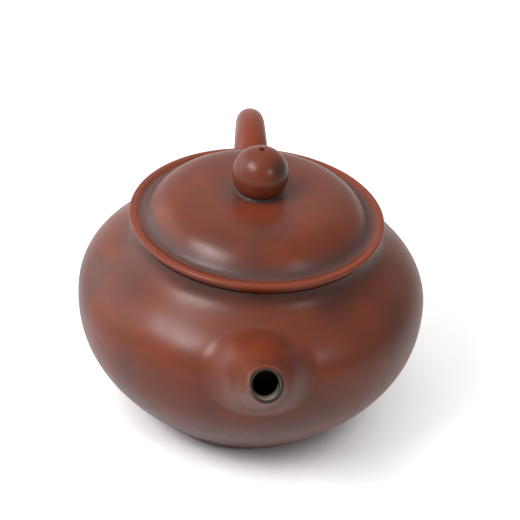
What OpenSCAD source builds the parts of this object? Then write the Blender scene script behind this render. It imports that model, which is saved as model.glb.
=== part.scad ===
// Hand-built clay teapot: round belly, short neck, pressed lid with a ball knob.
// Millimetres. +X is the spout, +Z is up, and the origin is on the body's axis at the floor.
// Every piece is shaped by itself and luted to the next with slip, as the potter does it.

/* [Body] */
// Radius of the belly at its widest
belly_r = 45; // [42:0.5:50]
// Height of the widest part of the belly
belly_z = 32.4; // [30:0.1:35]
// Radius that the lower wall runs down to at the floor
lower_r = 26; // [25.5:0.5:29]
// Fullness of the lower belly
lower_power = 2.26; // [2:0.02:2.6]
// Softness of the turn into the foot
lower_turn = 1.25; // [1.1:0.05:1.4]
// Height above the belly at which the shoulder's curve would close on the axis
shoulder_h = 26.2; // [25:0.1:28]
// Fullness of the shoulder
shoulder_power = 2.54; // [2.3:0.02:2.8]
// Thickness of the beaten wall
wall_t = 2.8; // [2.2:0.1:3.4]
// Height at which the shoulder slab closes the beaten wall
seam_z = 46; // [43:0.5:48]

/* [Foot] */
// Outer radius of the foot ring
foot_r = 24.6; // [24:0.1:26]
// Width of the foot ring
foot_w = 3; // [2.5:0.1:3.6]
// Height of the foot ring
foot_h = 1.8; // [1.2:0.1:2.6]
// Radius of the base disc
disc_r = 23; // [22.5:0.1:23.4]
// Thickness of the base disc
disc_t = 2.6; // [2:0.1:3.2]

/* [Mouth] */
// Radius of the mouth that the lid's flange drops into
mouth_r = 26.7; // [26:0.1:28]
// Thickness that the neck's wall runs out to
neck_wall = 3; // [2.6:0.1:3.4]
// Softness of the hollow turn from the shoulder into the neck
neck_soft = 6.8; // [4:0.1:8]
// Height at which the neck ring stands on the shoulder
neck_z = 52; // [51:0.1:53]
// Height of the neck ring
neck_h = 1.4; // [1:0.1:2]
// Width of the bead round the mouth
bead_w = 4; // [3.6:0.1:4.4]
// Height of the bead round the mouth
bead_h = 1.5; // [1.2:0.1:2]

/* [Lid] */
// Width of the lid's plate outside the mouth
lid_rim_w = 5.7; // [5.2:0.1:6.2]
// Thickness of the lid's plate at its edge
lid_edge_t = 1.8; // [1.6:0.1:2.4]
// Width of the round edge of the plate, out to the slope into the groove
lid_band_w = 1.2; // [1:0.1:1.5]
// Depth of the groove round the dome
groove_t = 0.45; // [0.3:0.05:0.7]
// How far the dome's foot stands outside the mouth
dome_foot_w = 2.8; // [2.4:0.1:3.2]
// Height of the dome above the groove
dome_h = 7.1; // [6:0.1:9]
// Depth that the dome's curve would fall from its top
dome_fall = 12.1; // [11:0.1:13]
// How far outside its foot the dome's curve would end
dome_spread = 2.2; // [2:0.1:2.4]
// Fullness of the dome
dome_power = 7.7; // [6:0.1:9]
// Softness of the turn into the dome's shoulder
dome_turn = 1.67; // [1.4:0.01:2]
// Softness of the dome's foot
dome_soft = 1.2; // [0.8:0.1:1.6]
// Thickness of the dome
dome_t = 2.3; // [1.8:0.1:2.8]
// Depth of the flange below the lid's plate
flange_h = 6.3; // [4:0.1:8]
// Thickness of the flange
flange_t = 2.3; // [1.8:0.1:2.6]
// Clearance all round between the flange and the mouth
flange_fit = 0.15; // [0.1:0.05:0.3]

/* [Knob] */
// Radius of the ball knob
knob_r = 7.1; // [6.4:0.1:8]
// Radius of the knob's neck where it meets the dome
knob_neck_r = 6.2; // [5.8:0.1:6.8]
// Radius of the knob's neck under the ball
knob_seat_r = 5.5; // [4.8:0.1:5.7]
// Height of the knob's neck above the dome
knob_neck_h = 0.6; // [0.5:0.1:1.2]
// Diameter of the air hole through the knob
air_hole_d = 1.4; // [1.2:0.1:2]

/* [Spout] */
// Distance from the body's axis to the middle of the spout's mouth
spout_reach = 60; // [58:0.5:64]
// Height of the middle of the spout's mouth
spout_z = 49.2; // [48:0.1:51]
// Rise of the spout above the horizontal, in degrees
spout_rise = 31; // [28:1:34]
// Outer radius of the spout's mouth
spout_tip_r = 4.2; // [4:0.1:4.8]
// Growth of the spout's radius along its length
spout_taper = 0.14; // [0.1:0.01:0.18]
// Radius of the bore in the spout's mouth
spout_bore_r = 3.05; // [2.6:0.05:3.2]
// Length of the straight bore
spout_bore_l = 8; // [5:0.5:10]
// Radius of the passage where it leaves the body
passage_r = 5.6; // [5:0.1:6]
// Radius at which the spout's root runs out into the belly
spout_root_r = 9.8; // [9.2:0.1:11]
// Length of the soft root of the spout
spout_blend = 5.5; // [4.5:0.5:7]
// Tilt of the mouth's face from square towards level, in degrees
spout_cut = 25; // [0:1:30]

/* [Strainer] */
// Radius of the strainer's dome
strainer_r = 9; // [8:0.1:10]
// How far the strainer stands into the chamber
strainer_depth = 5; // [4:0.1:6]
// Thickness of the strainer
strainer_t = 1.5; // [1.2:0.1:1.8]
// Diameter of each strainer hole
strainer_hole_d = 1.5; // [1.2:0.1:1.6]
// Rings of holes round the middle one
strainer_rings = 3; // [2:1:3]
// Angle from one ring of holes to the next, in degrees
strainer_pitch = 13; // [12:0.5:14]

/* [Handle] */
// Thickness of the handle at its top
handle_d = 8.3; // [7:0.1:9]
// Height of the top of the handle
handle_top = 57.5; // [54:0.5:59]
// Gap between the belly and the inside of the handle
finger_gap = 14.8; // [13:0.1:17]
// Radius of the handle's bend along its middle
handle_bend = 15.8; // [14:0.1:17]
// Height of the handle's upper root on the shoulder
handle_root_top = 45.5; // [43:0.5:47]
// Height of the handle's lower root on the belly
handle_root_low = 15.5; // [14:0.5:18]
// Extra radius at the handle's upper root, running out over the bend
handle_swell = 1.9; // [0.8:0.1:2.2]
// Extra radius at the handle's lower root
handle_flare = 1.1; // [0.4:0.1:1.5]
// How far the handle has thinned at its lower root
handle_thinning = 0.7; // [0:0.1:0.9]
// How far the lower root stands to one side of the upper one
handle_lean = 1.3; // [0:0.1:1.6]

/* [Hidden] */
$fn = 96;
clay = "#84503f";
rim_clay = "#95503a";
dark_clay = "#6d4a41";

floor_z = foot_h + disc_t;
neck_r = mouth_r + neck_wall;
bead_z = neck_z + neck_h;
bead_r = mouth_r + bead_w;
mouth_z = bead_z + bead_h;
flange_r = mouth_r - flange_fit;
plate_hole_r = flange_r - flange_t;
lid_r = mouth_r + lid_rim_w;
dome_r = mouth_r + dome_foot_w;
lid_top_z = mouth_z + lid_edge_t;
seat_z = lid_top_z - groove_t;
dome_z = seat_z + dome_h;
knob_seat_z = dome_z + knob_neck_h;
knob_crease = 0.1;
knob_z = knob_seat_z + sqrt(pow(knob_r, 2) - pow(knob_seat_r + knob_crease, 2));
air_hole_z = knob_z + knob_r + 1;

wall_steps = 22;
shoulder_steps = 9;
neck_steps = 3;
edge_steps = 8;
dome_steps = 20;

// ---- Outlines ----

// Larger of a and b, with the corner between them rounded, and the value it raises to c over b
function soft_max(a, b, soft) = (a + b + sqrt(pow(a - b, 2) + pow(soft, 2))) / 2;
function raised_to(c, b, soft) = c - pow(soft, 2) / (4 * (c - b));

// Outer radius of the body at height z
function wall_r(z) = z < belly_z
    ? lower_r + (belly_r - lower_r) * pow(1 - pow(1 - z / belly_z, lower_power), lower_turn)
    : let (closing = 1 - pow((z - belly_z) / shoulder_h, shoulder_power))
    soft_max(raised_to(belly_r, neck_r, neck_soft) * closing, neck_r, neck_soft);

// Slope of that outline, and the radius of the hollow inside a wall of even thickness
function wall_slope(z) = (wall_r(z + 0.1) - wall_r(z - 0.1)) / 0.2;
function inside_r(z) = wall_r(z) - wall_t * sqrt(1 + pow(wall_slope(z), 2));
function hollow_r(z) = z < belly_z ? inside_r(z) : max(mouth_r, inside_r(z));

// Evenly spaced values from a to b
function span(a, b, n) = [for (i = [0:n]) a + (b - a) * i / n];
wall_zs = span(foot_h, seam_z, wall_steps);
shoulder_zs = span(seam_z, neck_z, shoulder_steps);
hollow_zs = span(floor_z, seam_z, wall_steps);

// Points up an outline, and back down one
function rising(zs) = [for (z = zs) [wall_r(z), z]];
function falling(zs) = [for (i = [len(zs) - 1:-1:0]) [hollow_r(zs[i]), zs[i]]];

// Half-round edge from height za to zb, out to radius r
function round_edge(r, bulge, za, zb) =
    [for (a = span(-90, 90, edge_steps))
        [r - bulge + bulge * cos(a), (za + zb) / 2 + (zb - za) / 2 * sin(a)]];

// Dome outline from its foot up to the axis
function dome_fallen(x) =
    let (fallen = pow(x / (1 + dome_spread / dome_r), dome_power))
    dome_fall * (1 - pow(1 - fallen, dome_turn));
function dome_point(r, h, x) =
    [r * x, seat_z + soft_max(raised_to(h, 0, dome_soft) - dome_fallen(x), 0, dome_soft)];
function dome_outline(r, h) = [for (a = span(0, 90, dome_steps)) dome_point(r, h, cos(a))];

module turned(points) {
    rotate_extrude()
        polygon(points);
}

// The whole body without its hollow: what the spout and the handle are luted on to
module outer_form() {
    turned(concat([[0, foot_h]], rising(wall_zs), rising(shoulder_zs), [[0, neck_z]]));
}

// The hollow inside the body
module hollow_form() {
    turned(concat([[0, floor_z]], [for (z = hollow_zs) [hollow_r(z), z]],
        [for (z = shoulder_zs) [hollow_r(z), z]], [[0, neck_z]]));
}

// ---- Body ----

module body_wall() {
    color(clay)
        difference() {
            turned(concat([[disc_r, foot_h]], rising(wall_zs), falling(hollow_zs), [[disc_r, floor_z]]));
            passage();
        }
}

module base_disc() {
    color(dark_clay)
        translate([0, 0, foot_h])
            cylinder(r = disc_r, h = disc_t);
}

module foot_ring() {
    color(dark_clay)
        turned(concat([[foot_r - foot_w, foot_h], [foot_r - foot_w, foot_h / 4],
            [foot_r - foot_w * 0.8, 0], [foot_r - foot_w * 0.2, 0], [foot_r, foot_h / 4], [foot_r, foot_h]]));
}

module shoulder_disc() {
    color(clay)
        turned(concat(rising(shoulder_zs), falling(shoulder_zs)));
}

module neck_ring() {
    color(clay)
        turned(concat([[mouth_r, neck_z]], rising(span(neck_z, bead_z, neck_steps)), [[mouth_r, bead_z]]));
}

module mouth_rim() {
    color(rim_clay)
        turned(concat([[mouth_r, bead_z]], round_edge(bead_r, bead_h / 3, bead_z, mouth_z),
            [[mouth_r, mouth_z]]));
}

// ---- Spout ----

// Places things in the spout's own frame: +Z out along the spout, 0 at the mouth, +X below
module at_spout() {
    translate([spout_reach, 0, spout_z])
        rotate([0, 90 - spout_rise, 0])
            children();
}

// A point at radius r and angle a round the spout, s back from its mouth
function spout_point(r, a, s) = [
    spout_reach - s * cos(spout_rise) + r * cos(a) * sin(spout_rise),
    r * sin(a),
    spout_z - s * sin(spout_rise) - r * cos(a) * cos(spout_rise)];

// How far a point stands outside the belly
function clear_of_belly(p) = norm([p.x, p.y]) - wall_r(p.z);

// How far back from the mouth the belly lies, found by halving
function belly_depth(r, a, near = 5, far = 32, n = 20) =
    let (mid = (near + far) / 2)
    n == 0 ? mid
    : clear_of_belly(spout_point(r, a, mid)) > 0 ? belly_depth(r, a, mid, far, n - 1)
    : belly_depth(r, a, near, mid, n - 1);

function cone_r(s) = spout_tip_r + spout_taper * s;
function bezier(p, t) = pow(1 - t, 3) * p[0] + 3 * t * pow(1 - t, 2) * p[1]
    + 3 * pow(t, 2) * (1 - t) * p[2] + pow(t, 3) * p[3];

spout_l = belly_depth(0, 0);
blend_s = spout_l - spout_blend;
root_crease = 0.3;

// Section of the root at angle a: it leaves the cone and runs out into the belly
function root_curve(a) =
    let (s = belly_depth(spout_root_r, a))
    let (lean = belly_depth(spout_root_r + 0.5, a) - belly_depth(spout_root_r - 0.5, a) + root_crease)
    [[cone_r(blend_s), blend_s],
     [cone_r(blend_s), blend_s] + [spout_taper, 1] * spout_blend * 0.6,
     [spout_root_r, s] - [1, lean] * (spout_root_r - cone_r(blend_s)) * 0.55,
     [spout_root_r, s]];

spout_sides = 40;
root_steps = 8;
under_belly = 1.2;
function spout_section(a) =
    let (curve = root_curve(a))
    concat([[cone_r(-3), -3]], [for (t = span(0, 1, root_steps)) bezier(curve, t)],
        [curve[3] + [0.3, under_belly]]);

// Closed skin over rings of n points each, with both ends capped
module skin(rings) {
    n = len(rings[0]);
    last = len(rings) - 1;
    sides = [for (j = [0:last - 1], i = [0:n - 1])
        [j * n + i, j * n + (i + 1) % n, (j + 1) * n + (i + 1) % n, (j + 1) * n + i]];
    near_cap = [[for (i = [n - 1:-1:0]) i]];
    far_cap = [for (i = [0:n - 1]) [last * n + i, last * n + (i + 1) % n, (last + 1) * n]];
    middle = [for (k = [0:2]) [for (p = rings[last]) p[k]] * [for (p = rings[last]) 1 / n]];
    polyhedron(concat([for (ring = rings) each ring], [middle]), concat(sides, near_cap, far_cap));
}

module spout_form() {
    sections = [for (i = [0:spout_sides - 1]) spout_section(360 * i / spout_sides)];
    skin([for (j = [0:len(sections[0]) - 1])
        [for (i = [0:spout_sides - 1])
            spout_point(sections[i][j][0], 360 * i / spout_sides, sections[i][j][1])]]);
}

// Way of the tea from the strainer to the mouth
module passage() {
    widening = (passage_r - spout_bore_r) / (spout_l - spout_bore_l);
    end = spout_l + wall_t * 2;
    end_r = spout_bore_r + widening * (end - spout_bore_l);
    at_spout() {
        translate([0, 0, -spout_bore_l])
            cylinder(r = spout_bore_r, h = spout_bore_l + 4);
        translate([0, 0, -end])
            cylinder(r1 = end_r, r2 = spout_bore_r, h = end - spout_bore_l);
    }
}

module spout() {
    waste = 3 * spout_tip_r;
    color(clay)
        difference() {
            spout_form();
            outer_form();
            passage();
            at_spout()
                rotate([0, -spout_cut, 0])
                    translate([-waste, -waste, 0])
                        cube([2 * waste, 2 * waste, waste]);
        }
}

// Domed strainer over the hole in the wall, with rings of holes that look at its middle
module spout_strainer() {
    ball_s = spout_l + wall_t + strainer_depth - strainer_r;
    hollow_ball_r = strainer_r - strainer_t;
    color(dark_clay)
        difference() {
            intersection() {
                at_spout()
                    translate([0, 0, -ball_s])
                        difference() {
                            sphere(r = strainer_r);
                            sphere(r = hollow_ball_r);
                            cylinder(r = strainer_r + 1, h = strainer_r + 1);
                        }
                hollow_form();
            }
            at_spout()
                translate([0, 0, -ball_s])
                    for (ring = [0:strainer_rings], i = [0:max(0, 6 * ring - 1)])
                        rotate([0, 0, 360 * i / max(1, 6 * ring)])
                            rotate([0, 180 - strainer_pitch * ring, 0])
                                translate([0, 0, hollow_ball_r - 1])
                                    cylinder(d = strainer_hole_d, h = strainer_t + 2);
        }
}

// ---- Handle ----

bend_top = [-(belly_r + finger_gap + handle_d / 2 - handle_bend), handle_top - handle_d / 2];
bend_back = [bend_top.x - handle_bend, bend_top.y - handle_bend];
round_pull = 0.5523 * handle_bend;
root_in = 6;
root_top = [-(wall_r(handle_root_top) - root_in), handle_root_top];
root_low = [-(wall_r(handle_root_low) - root_in), handle_root_low];
handle_paths = [
    [root_top, root_top + [-3.2, 5], bend_top + [6.5, 0], bend_top],
    [bend_top, bend_top - [round_pull, 0], bend_back + [0, round_pull], bend_back],
    [bend_back, bend_back - [0, 9.5], root_low + [-12.5, 3.2], root_low]];

handle_steps = 12;
handle_sides = 24;
handle_last = 3 * handle_steps;
function handle_middle(k) =
    let (part = max(0, min(2, floor(k / handle_steps))))
    bezier(handle_paths[part], k / handle_steps - part);

// Radius along the handle: thinner to its lower end, swelling to its upper root, flared at the lower
swell_steps = 15;
flare_steps = 7;
function handle_radius(k) =
    let (near_top = max(0, 1 - k / swell_steps), near_low = max(0, 1 - (handle_last - k) / flare_steps))
    handle_d / 2 - handle_thinning * k / handle_last
        + handle_swell * pow(near_top, 2) + handle_flare * pow(near_low, 2);

function handle_ring(k) =
    let (middle = handle_middle(k), ahead = handle_middle(k + 0.01) - handle_middle(k - 0.01))
    let (across = [-ahead.y, ahead.x] / norm(ahead), r = handle_radius(k))
    let (aside = handle_lean * k / handle_last)
    [for (i = [0:handle_sides - 1]) let (a = 360 * i / handle_sides)
        [middle.x + across.x * r * cos(a), aside + r * sin(a), middle.y + across.y * r * cos(a)]];

module handle() {
    color(clay)
        difference() {
            skin([for (k = [0:handle_last]) handle_ring(k)]);
            outer_form();
        }
}

// ---- Lid ----

module air_hole() {
    translate([0, 0, mouth_z])
        cylinder(d = air_hole_d, h = air_hole_z - mouth_z);
}

module lid_plate() {
    groove_r = dome_r + 0.1;
    band_r = lid_r - lid_band_w;
    slope = [for (t = span(0, 1, edge_steps))
        [band_r + (groove_r - band_r) * t, lid_top_z - groove_t * (1 - cos(180 * t)) / 2]];
    color(rim_clay)
        turned(concat([[plate_hole_r, mouth_z]], round_edge(lid_r, lid_edge_t / 2, mouth_z, lid_top_z),
            slope, [[plate_hole_r, seat_z]]));
}

module dome_form(r, h) {
    turned(concat([[0, seat_z], [r, seat_z]], dome_outline(r, h)));
}

module lid_dome() {
    color(clay)
        difference() {
            dome_form(dome_r, dome_h);
            dome_form(dome_r - dome_t * 1.3, dome_h - dome_t);
            air_hole();
        }
}

module lid_flange() {
    low_z = mouth_z - flange_h;
    soft = flange_t / 4;
    color(dark_clay)
        turned([[plate_hole_r, mouth_z], [plate_hole_r, low_z + soft], [plate_hole_r + soft, low_z],
            [flange_r - soft, low_z], [flange_r, low_z + soft], [flange_r, mouth_z]]);
}

module knob_neck() {
    sink = 0.6;
    color(dark_clay)
        difference() {
            turned(concat([[0, dome_z - sink], [knob_neck_r, dome_z - sink]],
                [for (t = span(0, 1, edge_steps))
                    [knob_neck_r - (knob_neck_r - knob_seat_r) * sin(90 * t), dome_z + knob_neck_h * t]],
                [[0, knob_seat_z]]));
            dome_form(dome_r, dome_h);
            air_hole();
        }
}

module lid_knob() {
    color(clay)
        difference() {
            translate([0, 0, knob_z])
                sphere(r = knob_r);
            translate([0, 0, knob_seat_z - knob_r])
                cylinder(r = knob_r, h = knob_r);
            air_hole();
        }
}

body_wall();
base_disc();
foot_ring();
shoulder_disc();
neck_ring();
mouth_rim();
spout();
spout_strainer();
handle();
lid_plate();
lid_dome();
lid_flange();
knob_neck();
lid_knob();
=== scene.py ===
# %% [markdown]
# # A hand-built red clay teapot
# The real pot is beaten, cut and rolled from separate pieces of clay, which are luted together with slip.
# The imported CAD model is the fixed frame: it holds every piece at its real size. This script gives each
# piece its finished surface, and every new surface rides on the body that its piece belongs to.

# %% Load the frame
import math

import bmesh
import bpy
import numpy as np
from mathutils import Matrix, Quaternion, Vector


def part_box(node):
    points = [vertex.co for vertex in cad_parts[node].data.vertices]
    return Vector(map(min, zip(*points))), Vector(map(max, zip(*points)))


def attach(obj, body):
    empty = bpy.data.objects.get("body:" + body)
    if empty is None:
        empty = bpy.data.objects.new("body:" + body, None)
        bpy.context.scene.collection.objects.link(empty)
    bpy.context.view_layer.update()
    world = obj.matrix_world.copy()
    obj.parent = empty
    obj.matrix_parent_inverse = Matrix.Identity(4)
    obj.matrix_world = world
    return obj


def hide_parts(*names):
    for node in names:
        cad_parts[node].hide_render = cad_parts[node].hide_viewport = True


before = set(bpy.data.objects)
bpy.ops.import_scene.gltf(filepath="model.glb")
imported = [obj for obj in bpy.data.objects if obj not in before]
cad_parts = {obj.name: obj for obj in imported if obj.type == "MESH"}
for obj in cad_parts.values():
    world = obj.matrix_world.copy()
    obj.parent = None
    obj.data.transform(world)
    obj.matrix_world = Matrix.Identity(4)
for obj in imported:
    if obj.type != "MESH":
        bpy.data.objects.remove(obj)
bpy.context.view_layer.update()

MM = 0.001
scene = bpy.context.scene


# %% [markdown]
# ## Levels and radii
# A turned pot is told by the heights where one piece ends and the next begins. They could be written down
# again here, but two lists of sizes drift apart. They are read from the frame, in millimetres, so the
# surfaces made here start and stop exactly where the CAD pieces do.

# %% Read the levels from the frame
def low(node):
    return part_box(node)[0][2] / MM


def top(node):
    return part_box(node)[1][2] / MM


def reach(node):
    return round(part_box(node)[1][1] / MM, 2)


foot_h, seam_z, neck_z = low("body_wall"), top("body_wall"), top("shoulder_disc")
floor_z, bead_z, mouth_z = top("base_disc"), top("neck_ring"), top("mouth_rim")
disc_r, foot_r, bead_r = reach("base_disc"), reach("foot_ring"), reach("mouth_rim")
lid_r, flange_r, dome_r = reach("lid_plate"), reach("lid_flange"), reach("lid_dome")
lid_top_z, seat_z, dome_z = top("lid_plate"), low("lid_dome"), top("lid_dome")
flange_low_z, knob_top_z = low("lid_flange"), top("lid_knob")
print(f"foot {foot_h:.2f}, seam {seam_z:.2f}, mouth {mouth_z:.2f} mm")
print(f"lid top {lid_top_z:.2f}, knob top {knob_top_z:.2f} mm")


# %% [markdown]
# ## Camera
# The pot is seen from in front of the spout and well above it, as a buyer looks down at a pot on a table. A
# short lens close by would swell the spout and narrow the lid. A long lens further off keeps the ellipses
# of the lid and the mouth calm. The camera is turned a little about its own axis, as one that is held by
# hand.

# %% Set the camera
CAMERA_PLACE = Vector((0.34016, -0.02892, 0.27545))
CAMERA_AIM = Vector((0.0, 0.00166, 0.04218))
CAMERA_ROLL = math.radians(4.70)
LENS_MM, SENSOR_MM = 110.76, 36.0
camera = bpy.data.objects.new("camera", bpy.data.cameras.new("camera"))
camera.data.lens = LENS_MM
camera.data.sensor_width = SENSOR_MM
camera.location = CAMERA_PLACE
aim = (CAMERA_AIM - CAMERA_PLACE).to_track_quat("-Z", "Y")
camera.rotation_euler = (aim @ Quaternion((0, 0, 1), CAMERA_ROLL)).to_euler()
scene.collection.objects.link(camera)
scene.camera = camera
print("camera stands", round((CAMERA_PLACE - CAMERA_AIM).length, 3), "m away")


# %% [markdown]
# ## Node helpers
# Every tree below is built from the same few node types, so a few helpers keep them readable: one adds a
# node with its values, one joins two sockets, and two more add a sum or a mix of what they are given. A
# given value is either a plain number or colour, or a node with the socket it comes from.

# %% Helpers for all node trees
def add_node(tree, kind, values=(), **settings):
    made = tree.nodes.new(kind)
    for key, value in settings.items():
        setattr(made, key, value)
    for key, value in dict(values).items():
        made.inputs[key].default_value = value
    return made


def join(tree, source, target, out=0, into=0):
    tree.links.new(source.outputs[out], target.inputs[into])


def arithmetic(tree, operation, *values, clamp=False):
    made = add_node(tree, "ShaderNodeMath", operation=operation, use_clamp=clamp)
    for slot, value in enumerate(values):
        if isinstance(value, (int, float)):
            made.inputs[slot].default_value = value
        else:
            join(tree, value[0], made, value[1], slot)
    return made


FIRST_COLOUR, SECOND_COLOUR, MIXED_COLOUR = 6, 7, 2


def mixed(tree, factor, first, second):
    made = add_node(tree, "ShaderNodeMix", data_type="RGBA")
    join(tree, factor, made)
    for slot, value in ((FIRST_COLOUR, first), (SECOND_COLOUR, second)):
        if isinstance(value, tuple):
            made.inputs[slot].default_value = (*value, 1.0)
        else:
            join(tree, value, made, MIXED_COLOUR, slot)
    return made


def empty_material(name):
    material = bpy.data.materials.new(name)
    material.use_nodes = True
    material.node_tree.nodes.clear()
    return material, material.node_tree


# %% [markdown]
# ## Clay colours
# Unglazed purple-red clay mottles in the kiln and in use: warmer red in strokes, brown in clouds, grey where
# slip and tea collect, nearly black where soot sat, and brighter where hands and cloth rub it. Pale scale
# stays in the spout. The grey and the near black are also used as painted shade, and the pale as a painted
# pool of light in the spout's bore. All finishes are mixed from this one set of colours, so that the pieces
# look like one clay.

# %% Name the clay's colours
RED = (0.175, 0.038, 0.017)
WARM = (0.222, 0.042, 0.016)
BROWN = (0.122, 0.033, 0.019)
# the grey is stain and also painted shade, the near black is soot and also painted shade, the pale colour is
# scale and also a painted pool of light
GREY_STAIN_AND_SHADE = (0.085, 0.050, 0.046)
SOOT_AND_SHADE = (0.028, 0.018, 0.015)
RUBBED = (0.250, 0.045, 0.016)
PALE_SCALE_AND_LIGHT = (0.30, 0.26, 0.20)
GRAIN = (0.42, 0.27, 0.21)
print("the red is", round(RED[0] / RED[1], 1), "times its green, and the grey", round(GREY_STAIN_AND_SHADE[0] / GREY_STAIN_AND_SHADE[1], 1))


# %% [markdown]
# ## Mottling
# The colour is laid on like a painter's glazes, each over the last: strokes that run round the pot, clouds,
# stain, rub, soot and pale scale. Stain and soot also carry painted shade, and the pale scale a painted pool
# of light. Strokes and clouds are plain noise. A smooth Map Range behind each noise picks where its pattern
# starts and where it is full, which gives soft edges. The other layers are weighed by attributes of the same
# names, which each piece carries on its own points, because slip, soot, wear and the painted shade and light
# know the shape they are on and noise doesn't. Scales are in patterns per millimetre.

# %% Mix the clay's colour
CLOUDS = {"scale": 0.040, "detail": 2.5, "distortion": 0.8}
CLOUD_START, CLOUD_FULL, CLOUD_RETREAT = 0.30, 0.56, 0.3
STROKES = {"scale": 0.075, "detail": 4.0, "start": 0.42, "full": 0.74, "distortion": 0.75}
STROKE_SQUEEZE, STROKE_PLACE = (1.0, 1.0, 2.4), (9.0, 4.0, 13.0)
PATCHES = {"scale": 0.062, "detail": 3.0, "start": 0.48, "full": 0.78, "distortion": 1.0}
STREAKS = {"scale": 0.11, "detail": 2.0, "start": 0.15, "full": 0.60, "distortion": 0.5}
STREAK_SHARE = 0.35


def slow_noise(tree, coordinate, scale, detail, start, full, distortion=0.0):
    noise = add_node(tree, "ShaderNodeTexNoise", {"Scale": scale, "Detail": detail, "Distortion": distortion})
    join(tree, coordinate, noise, 0, "Vector")
    spread = add_node(tree, "ShaderNodeMapRange", {"From Min": start, "From Max": full},
                      interpolation_type="SMOOTHSTEP")
    join(tree, noise, spread, "Fac", "Value")
    return spread


def attribute(tree, name):
    return add_node(tree, "ShaderNodeAttribute", attribute_name=name)


def mottled(tree, in_mm, redness, stain):
    squeezed = add_node(tree, "ShaderNodeMapping", {"Scale": STROKE_SQUEEZE, "Location": STROKE_PLACE})
    join(tree, in_mm, squeezed, 0, "Vector")
    layers = mixed(tree, slow_noise(tree, squeezed, **STROKES), RED, WARM)
    retreat = redness * CLOUD_RETREAT
    clouds = slow_noise(tree, in_mm, start=CLOUD_START + retreat, full=CLOUD_FULL + retreat, **CLOUDS)
    layers = mixed(tree, clouds, layers, BROWN)

    streaks = slow_noise(tree, in_mm, **STREAKS)
    uneven = arithmetic(tree, "MULTIPLY_ADD", (streaks, 0), STREAK_SHARE, 1 - STREAK_SHARE)
    painted = arithmetic(tree, "MULTIPLY", (attribute(tree, "stain"), "Fac"), (uneven, 0))
    loose = arithmetic(tree, "MULTIPLY", (slow_noise(tree, in_mm, **PATCHES), 0), stain)
    stained = arithmetic(tree, "ADD", (painted, 0), (loose, 0), clamp=True)
    layers = mixed(tree, stained, layers, GREY_STAIN_AND_SHADE)
    # the dark layer paints soot and painted shade, the pale layer paints scale and a painted pool of light in
    # the bore
    for name, colour in (("rub", RUBBED), ("soot_and_shade", SOOT_AND_SHADE), ("scale_and_light", PALE_SCALE_AND_LIGHT)):
        layers = mixed(tree, attribute(tree, name), layers, colour)
    return layers


stroke_l, stroke_h = 1 / STROKES["scale"], 1 / STROKES["scale"] / STROKE_SQUEEZE[2]
print(f"strokes are about {stroke_l:.0f} mm long and {stroke_h:.0f} mm high")


# %% [markdown]
# ## Grain and skin
# The clay holds pale grains of sand. They are small and rare, so they come from the cells of a Voronoi
# texture: only the middle of a cell shows, and only in about one cell of eighty. The skin has a fine tooth
# and, much wider, the slow waves that the beating paddle leaves. Both are thinner than a hair, so they are
# bump and not shape.

# %% Add the grain and the skin
GRAINS_PER_MM, GRAIN_SIZE, GRAIN_RARITY = 0.55, 0.055, 0.988
TOOTH, TOOTH_BUMP = {"Scale": 3.2, "Detail": 3.0}, {"Strength": 0.35, "Distance": 0.02 * MM}
WAVES, WAVE_BUMP = {"Scale": 0.07, "Detail": 1.0}, {"Strength": 0.5, "Distance": 0.12 * MM}


def grained(tree, in_mm, colour):
    cells = add_node(tree, "ShaderNodeTexVoronoi", {"Scale": GRAINS_PER_MM, "Randomness": 1.0})
    join(tree, in_mm, cells, 0, "Vector")
    near = arithmetic(tree, "LESS_THAN", (cells, "Distance"), GRAIN_SIZE)
    apart = add_node(tree, "ShaderNodeSeparateColor")
    join(tree, cells, apart, "Color", 0)
    few = arithmetic(tree, "GREATER_THAN", (apart, "Red"), GRAIN_RARITY)
    speck = arithmetic(tree, "MULTIPLY", (near, 0), (few, 0))
    return mixed(tree, speck, colour, GRAIN)


def bumped(tree, in_mm, texture, strength, under=None):
    noise = add_node(tree, "ShaderNodeTexNoise", texture)
    join(tree, in_mm, noise, 0, "Vector")
    bump = add_node(tree, "ShaderNodeBump", strength)
    join(tree, noise, bump, "Fac", "Height")
    if under:
        join(tree, under, bump, "Normal", "Normal")
    return bump


def skin(tree, in_mm):
    return bumped(tree, in_mm, WAVES, WAVE_BUMP, under=bumped(tree, in_mm, TOOTH, TOOTH_BUMP))


print(f"a grain is up to {2 * GRAIN_SIZE / GRAINS_PER_MM:.1f} mm across")


# %% [markdown]
# ## Burnished clay
# The pot is burnished with a horn tool while it is leather hard, which gives it a satin skin. It isn't
# evenly glossy: the roughness wanders a little, and stained places are duller. Years of tea leave a thin
# shine of their own, which is a weak coat, and the matt clay inside has none. Every pattern reads Object
# coordinates in millimetres, so it has one scale on all pieces and stays on the lid when it is lifted.

# %% Make the clay finishes
DULL_PLACES = {"scale": 0.25, "detail": 3.0, "start": 0.3, "full": 0.7}
GLOSS_SPREAD, STAIN_DULLS, COAT_ROUGHNESS = 0.03, 0.10, 0.22


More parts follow.
